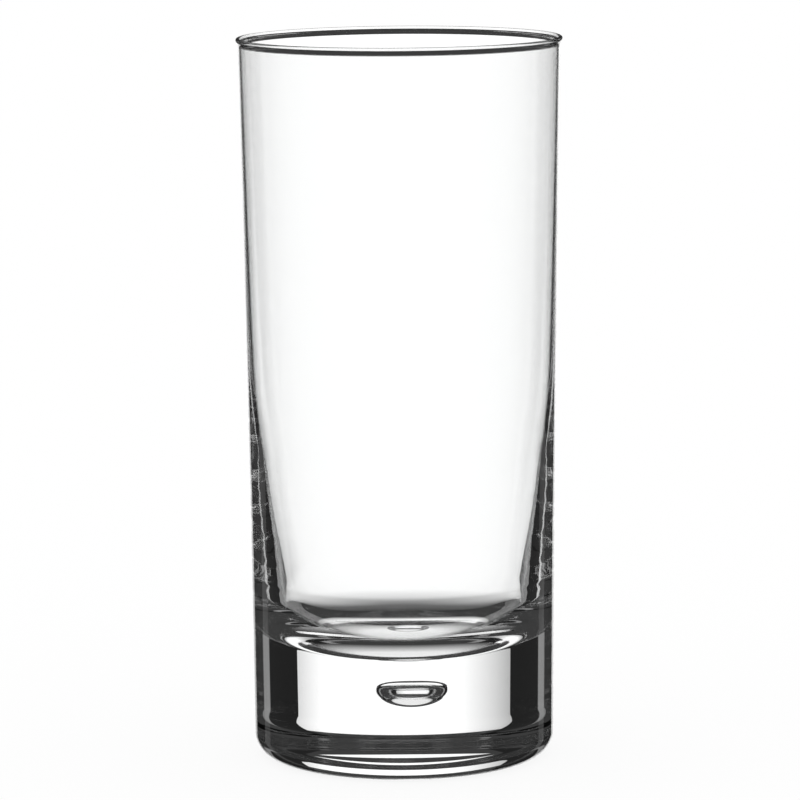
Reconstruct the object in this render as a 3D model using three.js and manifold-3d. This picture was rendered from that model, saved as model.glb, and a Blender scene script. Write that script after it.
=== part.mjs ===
// A tall clear juice glass with one air bubble held in its thick base.
// Two gathers of glass make it: a blown bowl and a pressed base, welded hot on a flat seam.
// Units are millimetres, +Z is up, and the origin is the middle of the resting plane.
import * as THREE from "three";
import { mergeVertices } from "three/addons/utils/BufferGeometryUtils.js";
import Module from "manifold-3d";

// Outside of the glass, down to a rounded heel
const height = 143;
const rimRadius = 32.1;
const waistRadius = 30.5;
const waistHeight = 72;
const footRadius = 29.85;
const heelHeight = 4.6;
const heelDepth = 4.3;

// Rolled rim: a round bead, and the cove that runs from it into the outer wall
const beadRadius = 0.5;
const coveRadius = 1.5;
const mouthWall = 0.5;

// Inside of the bowl: the wall's thickness at heights on the way down, then a dished floor
const wallStations = [
  [97, 0.86],
  [80, 1.12],
  [72, 1.36],
  [66, 1.72],
  [60, 2.25],
  [48, 3.35],
  [36, 4.75],
];
const floorHeight = 20.6;
const floorRadius = 23.15;
const floorFillet = 12.5;
const dishRadius = 63;

// Underside: a flat ring to stand on, and a shallow hollow inside it
const ringWidth = 2.5;
const puntDepth = 1.1;

// Weld between the two gathers, and the bubble that it cuts at the widest level
const seamHeight = 14.6;
const bubbleRadius = 4.85;
const bubbleRoof = 1.9;
const bubbleDepth = 3.35;
const bubbleOffset = 1.05;
const roofPower = 2.7;

// Fineness of the facets
const turnSteps = 72;
const wallSteps = 6;
const stationSteps = 2;
const filletSteps = 5;
const heelSteps = 8;
const beadSteps = 3;
const bubbleSteps = 32;

// Places worked out from the sizes above
const up = Math.PI / 2;
const beadCentreRadius = rimRadius - beadRadius;
const beadCentreHeight = height - beadRadius;
const mouthBore = beadCentreRadius - beadRadius;
const mouthRadius = mouthBore + mouthWall;
const coveCentreRadius = mouthRadius + coveRadius;
const coveCentreHeight =
  beadCentreHeight -
  Math.sqrt((beadRadius + coveRadius) ** 2 - (coveCentreRadius - beadCentreRadius) ** 2);
const ringOuterRadius = footRadius - heelDepth;
const puntRadius = ringOuterRadius - ringWidth;

// The outer wall is a parabola through foot, waist and mouth, so that it flares gently upwards.
function outerRadius(z) {
  const stations = [
    [heelHeight, footRadius],
    [waistHeight, waistRadius],
    [coveCentreHeight, mouthRadius],
  ];
  return stations.reduce((sum, [zi, ri]) => {
    const others = stations.filter(([zj]) => zj !== zi);
    return sum + others.reduce((share, [zj]) => (share * (z - zj)) / (zi - zj), ri);
  }, 0);
}

function outerWall(fromHeight, toHeight, steps) {
  return Array.from({ length: steps + 1 }, (_, i) => {
    const z = THREE.MathUtils.lerp(fromHeight, toHeight, i / steps);
    return new THREE.Vector2(outerRadius(z), z);
  });
}

function ellipseArc(centreX, centreY, radiusX, radiusY, fromAngle, toAngle, steps) {
  return Array.from({ length: steps + 1 }, (_, i) => {
    const angle = THREE.MathUtils.lerp(fromAngle, toAngle, i / steps);
    return new THREE.Vector2(
      centreX + radiusX * Math.cos(angle),
      centreY + radiusY * Math.sin(angle),
    );
  });
}

function arc(centreX, centreY, radius, fromAngle, toAngle, steps) {
  return ellipseArc(centreX, centreY, radius, radius, fromAngle, toAngle, steps);
}

// The floor: an arc that leaves the cone smoothly and runs just as smoothly into the dish.
function floorArcs(coneHead, coneFoot) {
  const along = coneFoot.clone().sub(coneHead).normalize();
  const inward = new THREE.Vector2(along.y, -along.x);
  const dishCentre = new THREE.Vector2(0, floorHeight + dishRadius);
  const start = coneHead.clone().addScaledVector(inward, floorFillet).sub(dishCentre);
  const drop = start.dot(along);
  const gap = dishRadius - floorFillet;
  const slide = Math.sqrt(drop ** 2 - start.lengthSq() + gap ** 2) - drop;
  const outward = start.clone().addScaledVector(along, slide);
  const centre = outward.clone().add(dishCentre);
  const coneEnd = Math.atan2(-inward.y, -inward.x);
  const dishEnd = Math.atan2(outward.y, outward.x);
  return [
    ...arc(centre.x, centre.y, floorFillet, coneEnd, dishEnd, filletSteps),
    ...arc(0, dishCentre.y, dishRadius, dishEnd, -up, filletSteps).slice(1),
  ];
}

// The inside from below the bead: a smooth curve through the stations, a short cone and the floor.
function innerWall() {
  const points = [
    new THREE.Vector2(mouthBore, beadCentreHeight),
    ...wallStations.map(([z, wall]) => new THREE.Vector2(outerRadius(z) - wall, z)),
  ];
  const floor = floorArcs(points.at(-1), new THREE.Vector2(floorRadius, floorHeight));
  const curve = new THREE.SplineCurve([...points, floor[0]]);
  const steps = points.length * stationSteps;
  const wall = Array.from({ length: steps - stationSteps }, (_, i) => curve.getPoint((i + 1) / steps));
  return [...wall, ...floor];
}

function turned(profile, steps) {
  const geometry = new THREE.LatheGeometry(profile, steps);
  geometry.rotateX(Math.PI / 2);
  return geometry;
}

// The bowl's section, from the middle of the seam out, up, over the rim and down to the floor.
function bowlProfile() {
  const coveEnd = Math.atan2(
    beadCentreHeight - coveCentreHeight,
    beadCentreRadius - coveCentreRadius,
  );
  const bead = [beadCentreRadius, beadCentreHeight, beadRadius];
  return [
    new THREE.Vector2(0, seamHeight),
    ...outerWall(seamHeight, coveCentreHeight, wallSteps),
    ...arc(coveCentreRadius, coveCentreHeight, coveRadius, Math.PI, coveEnd, filletSteps).slice(1),
    ...arc(...bead, coveEnd - Math.PI, 0, beadSteps).slice(1),
    ...arc(...bead, 0, up, beadSteps).slice(1),
    ...arc(...bead, up, Math.PI, beadSteps).slice(1),
    ...innerWall(),
  ];
}

// The base's section, from the top of the hollow out over the ring and heel, up to the seam.
function baseProfile() {
  const puntSphere = (puntRadius ** 2 + puntDepth ** 2) / (2 * puntDepth);
  const puntAngle = Math.asin(puntRadius / puntSphere);
  const puntCentre = puntDepth - puntSphere;
  return [
    ...arc(0, puntCentre, puntSphere, up, up - puntAngle, filletSteps),
    ...ellipseArc(ringOuterRadius, heelHeight, heelDepth, heelHeight, -up, 0, heelSteps),
    ...outerWall(heelHeight, seamHeight, 2).slice(1),
    new THREE.Vector2(0, seamHeight),
  ];
}

// The bubble's flattened roof and its bowl, each with a short collar that reaches past the seam.
function bubbleRoofProfile() {
  const flattened = ellipseArc(0, 0, 1, 1, 0, up, bubbleSteps / 4).map(({ x, y }) => {
    const across = Math.max(x, 0) ** (2 / roofPower);
    return new THREE.Vector2(bubbleRadius * across, bubbleRoof * y ** (2 / roofPower));
  });
  return [
    new THREE.Vector2(0, -bubbleRoof),
    new THREE.Vector2(bubbleRadius, -bubbleRoof),
    ...flattened,
  ];
}

function bubbleBowlProfile() {
  return [
    ...ellipseArc(0, 0, bubbleRadius, bubbleDepth, -up, 0, bubbleSteps / 4),
    new THREE.Vector2(bubbleRadius, bubbleDepth),
    new THREE.Vector2(0, bubbleDepth),
  ];
}

function bubbleHalf(profile) {
  return turned(profile, bubbleSteps).translate(bubbleOffset, 0, seamHeight);
}

const wasm = await Module();
wasm.setup();

function solid(geometry) {
  geometry.deleteAttribute("normal");
  geometry.deleteAttribute("uv");
  const merged = mergeVertices(geometry);
  return new wasm.Manifold(
    new wasm.Mesh({
      numProp: 3,
      vertProperties: merged.attributes.position.array,
      triVerts: new Uint32Array(merged.index.array),
    }),
  );
}

function geometryOf(made) {
  const mesh = made.getMesh();
  const geometry = new THREE.BufferGeometry();
  geometry.setAttribute("position", new THREE.BufferAttribute(mesh.vertProperties, 3));
  geometry.setIndex(new THREE.BufferAttribute(mesh.triVerts, 1));
  geometry.computeVertexNormals();
  return geometry;
}

function glassPiece(name, profile, hollow, colour) {
  const made = solid(turned(profile, turnSteps)).subtract(solid(bubbleHalf(hollow)));
  const material = new THREE.MeshStandardMaterial({
    color: colour,
    roughness: 0.03,
    metalness: 0,
    transparent: true,
    opacity: 0.35,
  });
  const mesh = new THREE.Mesh(geometryOf(made), material);
  mesh.name = name;
  return mesh;
}

const glass = new THREE.Group();
glass.name = "juice_glass";
glass.add(glassPiece("bowl", bowlProfile(), bubbleRoofProfile(), 0xeef4f3));
glass.add(glassPiece("base", baseProfile(), bubbleBowlProfile(), 0xeaf2f0));

export default glass;
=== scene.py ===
import math

import bpy
from mathutils import Matrix


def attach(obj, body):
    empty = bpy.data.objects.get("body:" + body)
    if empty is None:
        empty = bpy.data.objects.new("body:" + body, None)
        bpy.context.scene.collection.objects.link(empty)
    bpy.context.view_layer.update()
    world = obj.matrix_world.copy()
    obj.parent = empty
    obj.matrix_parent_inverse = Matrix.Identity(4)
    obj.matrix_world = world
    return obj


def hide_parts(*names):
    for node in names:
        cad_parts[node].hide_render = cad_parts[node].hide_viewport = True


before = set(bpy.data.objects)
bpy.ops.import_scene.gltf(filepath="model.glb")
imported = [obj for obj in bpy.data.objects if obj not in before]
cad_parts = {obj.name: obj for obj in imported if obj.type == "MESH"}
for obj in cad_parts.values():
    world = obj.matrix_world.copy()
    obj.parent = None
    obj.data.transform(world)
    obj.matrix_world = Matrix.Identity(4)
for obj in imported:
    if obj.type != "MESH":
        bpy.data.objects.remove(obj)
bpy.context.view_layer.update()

MM = 0.001
UP = math.pi / 2
WHITE = (1, 1, 1, 1)

# Sizes of the glass in millimetres, as in the CAD source
HEIGHT, RIM_RADIUS = 143.0, 32.1
WAIST_RADIUS, WAIST_HEIGHT = 30.5, 72.0
FOOT_RADIUS, HEEL_HEIGHT, HEEL_DEPTH = 29.85, 4.6, 4.3
BEAD_RADIUS, COVE_RADIUS, MOUTH_WALL = 0.5, 1.5, 0.5
# Wall thickness at heights down the inside of the bowl
WALLS = (
    (97, 0.86), (80, 1.12), (72, 1.36), (66, 1.72), (60, 2.25), (48, 3.35), (36, 4.75),
)
FLOOR_HEIGHT, FLOOR_RADIUS, FLOOR_FILLET, DISH_RADIUS = 20.6, 23.15, 12.5, 63.0
RING_WIDTH, PUNT_DEPTH = 2.5, 1.1
SEAM_HEIGHT = 14.6
BUBBLE_RADIUS, BUBBLE_ROOF, BUBBLE_DEPTH, BUBBLE_OFFSET = 4.85, 1.9, 3.35, 1.05
ROOF_POWER = 2.7

# Faint ripples low on the inner wall: wavelength and amplitude in millimetres, and phase
RIPPLES = ((1.7, 0.0007, 0.4), (2.6, 0.0011, 1.9), (4.3, 0.0018, 3.1))
RIPPLE_FOOT, RIPPLE_HEAD, RIPPLE_FADE = 30.0, 64.0, 6.0

# Steps round the axis, and along each stretch of the sections
TURN_STEPS = 200
OUTER_STEPS, RIM_STEPS = 60, 12
INNER_STEPS, RIPPLED_STEPS, CONE_STEPS, FLOOR_STEPS = 12, 24, 12, 36
BASE_STEPS, HEEL_STEPS, RING_STEPS, PUNT_STEPS = 10, 48, 6, 40
ROOF_STEPS, DIMPLE_STEPS = 36, 28

# Places worked out from the sizes
BEAD_R = RIM_RADIUS - BEAD_RADIUS
BEAD_Z = HEIGHT - BEAD_RADIUS
BORE = BEAD_R - BEAD_RADIUS
MOUTH_RADIUS = BORE + MOUTH_WALL
COVE_R = MOUTH_RADIUS + COVE_RADIUS
COVE_Z = BEAD_Z - math.sqrt((BEAD_RADIUS + COVE_RADIUS) ** 2 - (COVE_R - BEAD_R) ** 2)
RING_OUTER = FOOT_RADIUS - HEEL_DEPTH
PUNT_RADIUS = RING_OUTER - RING_WIDTH


def outer_radius(z):
    """The outer wall: a parabola through foot, waist and mouth."""
    stations = ((HEEL_HEIGHT, FOOT_RADIUS), (WAIST_HEIGHT, WAIST_RADIUS), (COVE_Z, MOUTH_RADIUS))
    total = 0.0
    for zi, ri in stations:
        for zj, _ in stations:
            if zj != zi:
                ri *= (z - zj) / (zi - zj)
        total += ri
    return total


def lerp(a, b, t):
    return a + (b - a) * t


def spaced(start, end, steps):
    return [tuple(lerp(s, e, i / steps) for s, e in zip(start, end)) for i in range(steps + 1)]


def outer_wall(z0, z1, steps):
    return [(outer_radius(z), z) for (z,) in spaced((z0,), (z1,), steps)]


def arc(cx, cz, rx, rz, a0, a1, steps):
    angles = [lerp(a0, a1, i / steps) for i in range(steps + 1)]
    return [(cx + rx * math.cos(a), cz + rz * math.sin(a)) for a in angles]


def unit(x, z):
    length = math.hypot(x, z)
    return x / length, z / length


def spline(points):
    """A Catmull-Rom curve through the points, up to the last but one, finer where it is rippled."""
    made = [points[0]]
    for i in range(len(points) - 2):
        p0, p1, p2, p3 = points[max(i - 1, 0)], points[i], points[i + 1], points[i + 2]
        steps = INNER_STEPS if p2[1] > RIPPLE_HEAD + RIPPLE_FADE else RIPPLED_STEPS
        for k in range(1, steps + 1):
            t = k / steps
            made.append(
                tuple(
                    (2 * b - 2 * c + (c - a + d - b) / 2) * t**3
                    + (3 * c - 3 * b - (c - a) - (d - b) / 2) * t**2
                    + (c - a) / 2 * t
                    + b
                    for a, b, c, d in zip(p0, p1, p2, p3)
                )
            )
    return made


def floor_arcs(knee, foot):
    """An arc that leaves the cone smoothly and runs as smoothly into the dish."""
    ux, uz = unit(foot[0] - knee[0], foot[1] - knee[1])
    nx, nz = uz, -ux
    dish_z = FLOOR_HEIGHT + DISH_RADIUS
    sx, sz = knee[0] + nx * FLOOR_FILLET, knee[1] + nz * FLOOR_FILLET - dish_z
    drop = sx * ux + sz * uz
    gap = DISH_RADIUS - FLOOR_FILLET
    slide = math.sqrt(drop**2 - sx**2 - sz**2 + gap**2) - drop
    ox, oz = sx + ux * slide, sz + uz * slide
    cone_end, dish_end = math.atan2(-nz, -nx), math.atan2(oz, ox)
    corner = arc(ox, oz + dish_z, FLOOR_FILLET, FLOOR_FILLET, cone_end, dish_end, FLOOR_STEPS)
    return corner + arc(0, dish_z, DISH_RADIUS, DISH_RADIUS, dish_end, -UP, FLOOR_STEPS)[1:]


def rippled(profile):
    """The profile with the ripples added, which fade out at both ends of their stretch."""
    made = []
    for r, z in profile:
        fade_in, fade_out = (z - RIPPLE_FOOT) / RIPPLE_FADE, (RIPPLE_HEAD - z) / RIPPLE_FADE
        fade = min(1, max(0, fade_in), max(0, fade_out))
        wave = sum(
            size * math.sin(2 * math.pi * z / length + phase) for length, size, phase in RIPPLES
        )
        made.append((r + fade * wave, z))
    return made


def bowl_section():
    """From the outer edge of the seam up, over the rim and down to the middle of the floor."""
    cove_end = math.atan2(BEAD_Z - COVE_Z, BEAD_R - COVE_R)
    bead = (BEAD_R, BEAD_Z, BEAD_RADIUS, BEAD_RADIUS)
    inner = [(BORE, BEAD_Z)] + [(outer_radius(z) - wall, z) for z, wall in WALLS]
    floor = floor_arcs(inner[-1], (FLOOR_RADIUS, FLOOR_HEIGHT))
    cone = spaced(inner[-1], floor[0], CONE_STEPS)
    return (
        outer_wall(SEAM_HEIGHT, COVE_Z, OUTER_STEPS)
        + arc(COVE_R, COVE_Z, COVE_RADIUS, COVE_RADIUS, math.pi, cove_end, RIM_STEPS)[1:]
        + arc(*bead, cove_end - math.pi, 0, RIM_STEPS)[1:]
        + arc(*bead, 0, UP, RIM_STEPS)[1:]
        + arc(*bead, UP, math.pi, RIM_STEPS)[1:]
        + rippled(spline(inner + [floor[0]])[1:] + cone[1:-1])
        + floor
    )


def base_section():
    """From the outer edge of the seam down over the heel and ring to the top of the hollow."""
    sphere = (PUNT_RADIUS**2 + PUNT_DEPTH**2) / (2 * PUNT_DEPTH)
    punt_end = UP - math.asin(PUNT_RADIUS / sphere)
    return (
        outer_wall(SEAM_HEIGHT, HEEL_HEIGHT, BASE_STEPS)
        + arc(RING_OUTER, HEEL_HEIGHT, HEEL_DEPTH, HEEL_HEIGHT, 0, -UP, HEEL_STEPS)[1:]
        + spaced((RING_OUTER, 0), (PUNT_RADIUS, 0), RING_STEPS)[1:]
        + arc(0, PUNT_DEPTH - sphere, sphere, sphere, punt_end, UP, PUNT_STEPS)[1:]
    )


def roof_section():
    """From the mouth of the bubble at the seam to the middle of its flattened roof."""
    made = []
    for x, z in arc(0, 0, 1, 1, 0, UP, ROOF_STEPS):
        across, rise = max(x, 0) ** (2 / ROOF_POWER), z ** (2 / ROOF_POWER)
        made.append((BUBBLE_RADIUS * across, SEAM_HEIGHT + BUBBLE_ROOF * rise))
    return made


def dimple_section():
    """From the mouth of the bubble at the seam to its bottom."""
    return arc(0, SEAM_HEIGHT, BUBBLE_RADIUS, -BUBBLE_DEPTH, 0, UP, DIMPLE_STEPS)


def gather(name, section, bubble, flip):
    """One gather as a closed mesh: the turned outside, the seam and its part of the bubble."""
    verts, faces = [], []

    def turned(profile, offset):
        rings = []
        for r, z in profile[:-1]:
            rings.append(range(len(verts), len(verts) + TURN_STEPS))
            for k in range(TURN_STEPS):
                a = 2 * math.pi * k / TURN_STEPS
                verts.append(((offset + r * math.cos(a)) * MM, r * math.sin(a) * MM, z * MM))
        verts.append((offset * MM, 0, profile[-1][1] * MM))
        return rings, len(verts) - 1

    def wall(lower, upper):
        for k in range(TURN_STEPS):
            n = (k + 1) % TURN_STEPS
            faces.append((lower[k], lower[n], upper[n], upper[k]))

    def skin(rings, tip):
        for lower, upper in zip(rings, rings[1:]):
            wall(lower, upper)
        last = rings[-1]
        for k in range(TURN_STEPS):
            faces.append((last[k], last[(k + 1) % TURN_STEPS], tip))

    outside, tip = turned(section, 0)
    skin(outside, tip)
    inside, roof = turned(bubble, BUBBLE_OFFSET)
    seam_start = len(faces)
    wall(inside[0], outside[0])
    seam_end = len(faces)
    skin(inside, roof)
    faces[seam_end:] = [f[::-1] for f in faces[seam_end:]]
    if flip:
        faces = [f[::-1] for f in faces]

    mesh = bpy.data.meshes.new(name)
    mesh.from_pydata(verts, [], faces)
    for i, polygon in enumerate(mesh.polygons):
        polygon.use_smooth = True
        polygon.material_index = 1 if seam_start <= i < seam_end else 0
    edges = {tuple(sorted(e.vertices)): e for e in mesh.edges}
    for ring in (outside[0], inside[0]):
        for k in range(TURN_STEPS):
            edges[tuple(sorted((ring[k], ring[(k + 1) % TURN_STEPS])))].use_edge_sharp = True
    mesh.update()
    piece = bpy.data.objects.new(name, mesh)
    bpy.context.collection.objects.link(piece)
    return piece


# Materials

def material(name):
    made = bpy.data.materials.new(name)
    made.use_nodes = True
    made.node_tree.nodes.clear()
    return made, made.node_tree


def shader_output(tree, socket, kind="ShaderNodeOutputMaterial"):
    tree.links.new(socket, tree.nodes.new(kind).inputs["Surface"])


def fill(tree, node, *values):
    """Set the node's first inputs to numbers, or link them to the outputs of other nodes."""
    for socket, value in zip(node.inputs, values):
        if isinstance(value, (int, float)):
            socket.default_value = value
        else:
            tree.links.new(value, socket)
    return node.outputs


def math_node(tree, operation, *values):
    made = tree.nodes.new("ShaderNodeMath")
    made.operation = operation
    return fill(tree, made, *values)[0]


def ramp_node(tree, value, from_low, from_high, to_low, to_high, kind="SMOOTHSTEP"):
    made = tree.nodes.new("ShaderNodeMapRange")
    made.interpolation_type = kind
    return fill(tree, made, value, from_low, from_high, to_low, to_high)[0]


def noise_node(tree, place, scale):
    made = tree.nodes.new("ShaderNodeTexNoise")
    made.inputs["Scale"].default_value = scale
    tree.links.new(place, made.inputs["Vector"])
    return made.outputs["Fac"]


def place_node(tree):
    return tree.nodes.new("ShaderNodeTexCoord").outputs["Object"]


def split_node(tree, place):
    return fill(tree, tree.nodes.new("ShaderNodeSeparateXYZ"), place)


# Clear glass: its tint drifts a little, its surface is faintly wavy with a trace of film,
# and the ring that it stands on is worn. FROM and TO are levels of the noise.
GLASS_IOR = 1.52
CLEAR_TINT, DEEP_TINT, TINT_SCALE = (0.997, 0.999, 0.999, 1), (0.992, 0.997, 0.995, 1), 28
WAVE_SCALE, WAVE_DISTANCE = 45, 0.00001
FILM_SCALE, FILM_FROM, FILM_TO, FILM_ROUGHNESS = 160, 0.5, 0.7, 0.004
WORN_SCALE, WORN_FROM, WORN_TO, WORN_ROUGHNESS = 900, 0.35, 0.65, 0.2
WORN_HEIGHT = 0.0003


def glass_material(name):
    made, tree = material(name)
    glass = tree.nodes.new("ShaderNodeBsdfPrincipled")
    glass.inputs["Transmission Weight"].default_value = 1
    glass.inputs["IOR"].default_value = GLASS_IOR
    place = place_node(tree)

    tint = tree.nodes.new("ShaderNodeValToRGB")
    for stop, colour in zip(tint.color_ramp.elements, (CLEAR_TINT, DEEP_TINT)):
        stop.color = colour
    tree.links.new(noise_node(tree, place, TINT_SCALE), tint.inputs["Fac"])
    tree.links.new(tint.outputs["Color"], glass.inputs["Base Color"])

    worn_noise, film_noise = (noise_node(tree, place, s) for s in (WORN_SCALE, FILM_SCALE))
    worn = ramp_node(tree, worn_noise, WORN_FROM, WORN_TO, 0, WORN_ROUGHNESS)
    film = ramp_node(tree, film_noise, FILM_FROM, FILM_TO, 0, FILM_ROUGHNESS)
    rough = ramp_node(tree, split_node(tree, place)["Z"], 0, WORN_HEIGHT, worn, film)
    tree.links.new(rough, glass.inputs["Roughness"])

    wave = tree.nodes.new("ShaderNodeBump")
    wave.inputs["Distance"].default_value = WAVE_DISTANCE
    tree.links.new(noise_node(tree, place, WAVE_SCALE), wave.inputs["Height"])
    tree.links.new(wave.outputs[0], glass.inputs["Normal"])
    shader_output(tree, glass.outputs[0])
    return made


def seam_material():
    """Fully clear, so that light passes from one gather into the other as in welded glass."""
    made, tree = material("welded_seam")
    clear = tree.nodes.new("ShaderNodeBsdfPrincipled")
    clear.inputs["Alpha"].default_value = 0
    shader_output(tree, clear.outputs[0])
    return made


seam_look = seam_material()
for node, slot, section, bubble, flip in (
    ("bowl", "bowl_glass", bowl_section(), roof_section(), False),
    ("base", "base_glass", base_section(), dimple_section(), True),
):
    piece = gather(f"{node}_gather", section, bubble, flip)
    piece.data.materials.append(glass_material(slot))
    piece.data.materials.append(seam_look)
    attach(piece, "root")
    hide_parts(node)

# Camera: the photograph's viewpoint, with a 36 mm wide sensor on an 800 pixel wide image
FOCAL_PIXELS, IMAGE_PIXELS, SENSOR = 4626, 800, 36
CAMERA_PLACE = (-0.00035, -0.907, 0.2047)
CAMERA_PITCH, CAMERA_ROLL = 8.385, -0.45

camera = bpy.data.objects.new("camera", bpy.data.cameras.new("camera"))
camera.data.sensor_width = SENSOR
camera.data.lens = SENSOR * FOCAL_PIXELS / IMAGE_PIXELS
camera.matrix_world = (
    Matrix.Translation(CAMERA_PLACE)
    @ Matrix.Rotation(math.radians(90 - CAMERA_PITCH), 4, "X")
    @ Matrix.Rotation(math.radians(CAMERA_ROLL), 4, "Z")
)
bpy.context.collection.objects.link(camera)
bpy.context.scene.camera = camera

# Studio, in metres and degrees: a lit panel behind the glass, dark flags, grey strips and dark
# cards beside it, and a dark tent round them all, which only the glass sees, and a pale floor.
# Panel and cards turn with the camera about the middle of the glass, as a photographer moves
# them for another view. They stand upright for the camera above.
STUDIO_HEIGHT = HEIGHT / 2 * MM
CAMERA_LIFT = math.atan2(CAMERA_PLACE[2] - STUDIO_HEIGHT, -CAMERA_PLACE[1])
PANEL_AWAY, PANEL_HALF_WIDTH, PANEL_TOP = 0.55, 1.2, 0.131
# The panel fades to both sides of an azimuth, and below, from one elevation to the next
PANEL_AIM, PANEL_CORE, PANEL_EDGE = 4, 5, 50
PANEL_FADE, PANEL_LOW, PANEL_BOTTOM = -30, -58, -82
PANEL_LEVEL, BELOW_LEVEL, LOW_LEVEL = 1.6, 0.17, 0.03
# Its slopes are cut off at the level that is just white behind two walls of glass
PANEL_WHITE = 1.2
CARD_AWAY, CARD_HALF_HEIGHT = 0.2, 1.0
FLAG_IN, FLAG_OUT, STRIP_OUT, SIDE_OUT = 0.1096, 0.2303, 0.317, 1.5
FLAG_TOP_IN, FLAG_SLANT_FOOT, FLAG_SLANT_HEAD = 0.088, 0.0, 0.065
FLAG_LEVEL, STRIP_LEVEL, SIDE_LEVEL = 0.012, 0.27, 0.04
TENT_HALF, TENT_LEVEL = 5.0, 0.045


def studio_empty(name, parent=None):
    made = bpy.data.objects.new(name, None)
    made.parent = parent
    bpy.context.collection.objects.link(made)
    return made


studio = studio_empty("studio")
studio.location = (0, 0, STUDIO_HEIGHT)
turn = studio.constraints.new("TRACK_TO")
turn.target = camera
turn.track_axis = "TRACK_NEGATIVE_Y"
turn.up_axis = "UP_Z"
studio_set = studio_empty("studio_set", studio)
studio_set.rotation_euler = (CAMERA_LIFT, 0, 0)


def emission_material(name, level=1):
    made, tree = material(name)
    glow = tree.nodes.new("ShaderNodeEmission")
    glow.inputs["Strength"].default_value = level
    shader_output(tree, glow.outputs[0])
    return made, tree, glow


def studio_mesh(name, verts, faces, look):
    mesh = bpy.data.meshes.new(name)
    mesh.from_pydata(verts, [], faces)
    mesh.materials.append(look)
    made = bpy.data.objects.new(name, mesh)
    bpy.context.collection.objects.link(made)
    return made


def show_to_glass_only(made):
    made.visible_camera = False
    made.visible_diffuse = False
    made.visible_shadow = False


def card(name, y, outline, look):
    """A flat upright card of the set that turns with the camera."""
    verts = [(x, y, z) for x, z in outline]
    made = studio_mesh(name, verts, [tuple(range(len(verts)))], look)
    made.parent = studio_set
    made.location = (0, 0, -STUDIO_HEIGHT)
    show_to_glass_only(made)


def upright(x0, x1, z0, z1):
    return [(x0, z0), (x1, z0), (x1, z1), (x0, z1)]


def square(half, z):
    return [(-half, -half, z), (half, -half, z), (half, half, z), (-half, half, z)]


def angle_node(tree, offset, away):
    """The angle in degrees at which an offset is seen from a distance away."""
    angle = math_node(tree, "ARCTANGENT", math_node(tree, "DIVIDE", offset, away))
    return math_node(tree, "MULTIPLY", angle, math.degrees(1))


def panel_material():
    """White in the middle, dimmer towards both sides and below."""
    made, tree, glow = emission_material("lit_panel")
    place = split_node(tree, place_node(tree))
    azimuth = angle_node(tree, place["X"], PANEL_AWAY)
    elevation = angle_node(tree, place["Z"], PANEL_AWAY)
    off = math_node(tree, "ABSOLUTE", math_node(tree, "SUBTRACT", azimuth, PANEL_AIM))
    side = ramp_node(tree, off, PANEL_CORE, PANEL_EDGE, PANEL_LEVEL, 0, "LINEAR")
    below = ramp_node(tree, elevation, PANEL_BOTTOM, PANEL_LOW, LOW_LEVEL, BELOW_LEVEL, "LINEAR")
    level = ramp_node(tree, elevation, PANEL_LOW, PANEL_FADE, below, side, "LINEAR")
    tree.links.new(math_node(tree, "MINIMUM", level, PANEL_WHITE), glow.inputs["Strength"])
    return made


flag_look = emission_material("dark_flag", FLAG_LEVEL)[0]
strip_look = emission_material("grey_strip", STRIP_LEVEL)[0]
side_look = emission_material("dark_side", SIDE_LEVEL)[0]

panel_foot = PANEL_AWAY * math.tan(math.radians(PANEL_BOTTOM))
panel_outline = upright(-PANEL_HALF_WIDTH, PANEL_HALF_WIDTH, panel_foot, PANEL_TOP)
card("lit_panel", PANEL_AWAY, panel_outline, panel_material())

low, high = -CARD_HALF_HEIGHT, CARD_HALF_HEIGHT
flag_outline = [
    (FLAG_IN, low),
    (FLAG_OUT, low),
    (FLAG_OUT, high),
    (FLAG_TOP_IN, high),
    (FLAG_TOP_IN, FLAG_SLANT_HEAD),
    (FLAG_IN, FLAG_SLANT_FOOT),
]
for side, word in ((-1, "left"), (1, "right")):
    for name, outline, look in (
        ("flag", flag_outline, flag_look),
        ("strip", upright(FLAG_OUT, STRIP_OUT, low, high), strip_look),
        ("dark", upright(STRIP_OUT, SIDE_OUT, low, high), side_look),
    ):
        card(f"{name}_{word}", CARD_AWAY, [(side * x, z) for x, z in outline], look)

# A glowing disc that stands for the pale table right under the glass, seen only by the glass:
# painted light, a pool brightest below the hollow's middle, fading to painted shade at its rim
SPOT_RADIUS, SPOT_CORE, SPOT_DROP = 0.0235, 0.011, 0.0005
# Glow of the painted pool of light at its middle, and of the painted shade at its rim
PAINTED_LIGHT_LEVEL, PAINTED_SHADE_LEVEL = 0.9, 0.03


# Painted light and shade: the glow falls off with the distance from the middle of the disc
def painted_light_pool_material():
    made, tree, glow = emission_material("painted_light_pool")
    away = tree.nodes.new("ShaderNodeVectorMath")
    away.operation = "LENGTH"
    distance = fill(tree, away, place_node(tree))["Value"]
    level = ramp_node(
        tree, distance, SPOT_CORE, SPOT_RADIUS, PAINTED_LIGHT_LEVEL, PAINTED_SHADE_LEVEL, "LINEAR"
    )
    tree.links.new(level, glow.inputs["Strength"])
    return made


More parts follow.
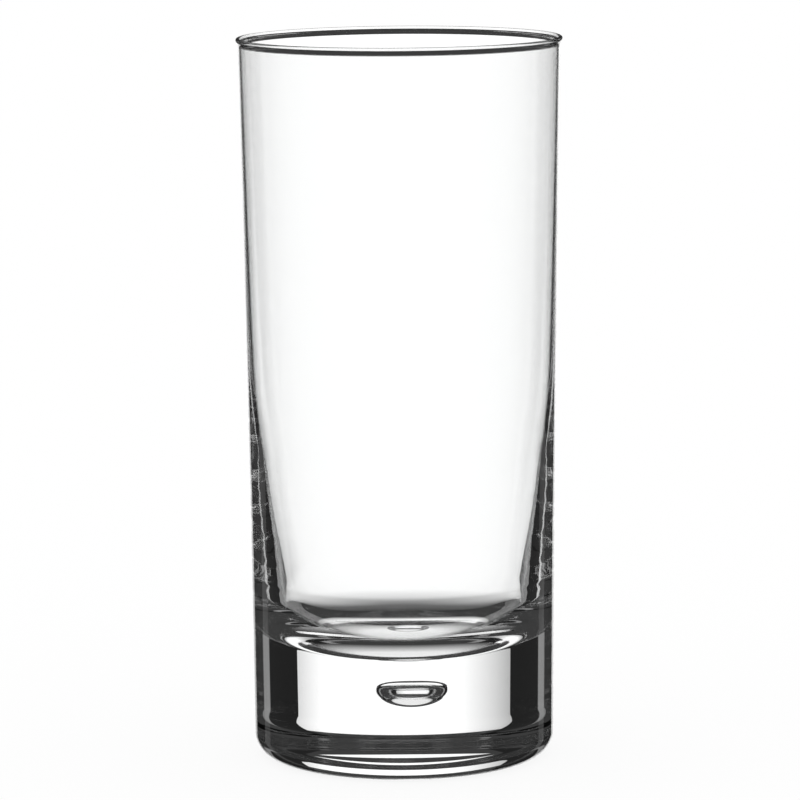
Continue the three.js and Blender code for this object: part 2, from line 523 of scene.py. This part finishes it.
spot_circle = arc(0, 0, SPOT_RADIUS, SPOT_RADIUS, 0, 2 * math.pi, TURN_STEPS)[:-1]
spot_rim = [(x, y, 0) for x, y in spot_circle]
spot = studio_mesh("painted_light_pool", spot_rim, [tuple(range(TURN_STEPS))], painted_light_pool_material())
spot.location = (0, 0, -SPOT_DROP)
show_to_glass_only(spot)

tent = studio_mesh(
    "dark_tent",
    square(TENT_HALF, -TENT_HALF) + square(TENT_HALF, TENT_HALF),
    [(0, 1, 2, 3), (4, 5, 6, 7), (0, 1, 5, 4), (1, 2, 6, 5), (2, 3, 7, 6), (3, 0, 4, 7)],
    emission_material("dark_tent", TENT_LEVEL)[0],
)
show_to_glass_only(tent)

# World: plain white
world = bpy.data.worlds.new("studio_world")
bpy.context.scene.world = world
world.use_nodes = True
world.node_tree.nodes.clear()
sky = world.node_tree.nodes.new("ShaderNodeBackground")
sky.inputs["Color"].default_value = WHITE
shader_output(world.node_tree, sky.outputs[0], "ShaderNodeOutputWorld")

# Floor, hidden from the rays of the glass, which sees the panel and the disc instead
FLOOR_HALF, FLOOR_GLOW = 20.0, 0.9


def floor_material():
    """Mostly a white glow, and matt enough to keep a faint shadow."""
    made, tree = material("pale_floor")
    glow = tree.nodes.new("ShaderNodeEmission")
    matt = tree.nodes.new("ShaderNodeBsdfDiffuse")
    matt.inputs["Color"].default_value = WHITE
    mix = tree.nodes.new("ShaderNodeMixShader")
    shader_output(tree, fill(tree, mix, FLOOR_GLOW, matt.outputs[0], glow.outputs[0])[0])
    return made


floor = studio_mesh("floor", square(FLOOR_HALF, 0), [(0, 1, 2, 3)], floor_material())
floor.visible_transmission = False
floor.visible_glossy = False

bpy.context.scene.view_settings.view_transform = "Standard"

# Light is reflected many times inside the thick glass
LIGHT_BOUNCES = 48
cycles = bpy.context.scene.cycles
cycles.max_bounces = LIGHT_BOUNCES
cycles.glossy_bounces = LIGHT_BOUNCES
cycles.transmission_bounces = LIGHT_BOUNCES
cycles.transparent_max_bounces = LIGHT_BOUNCES
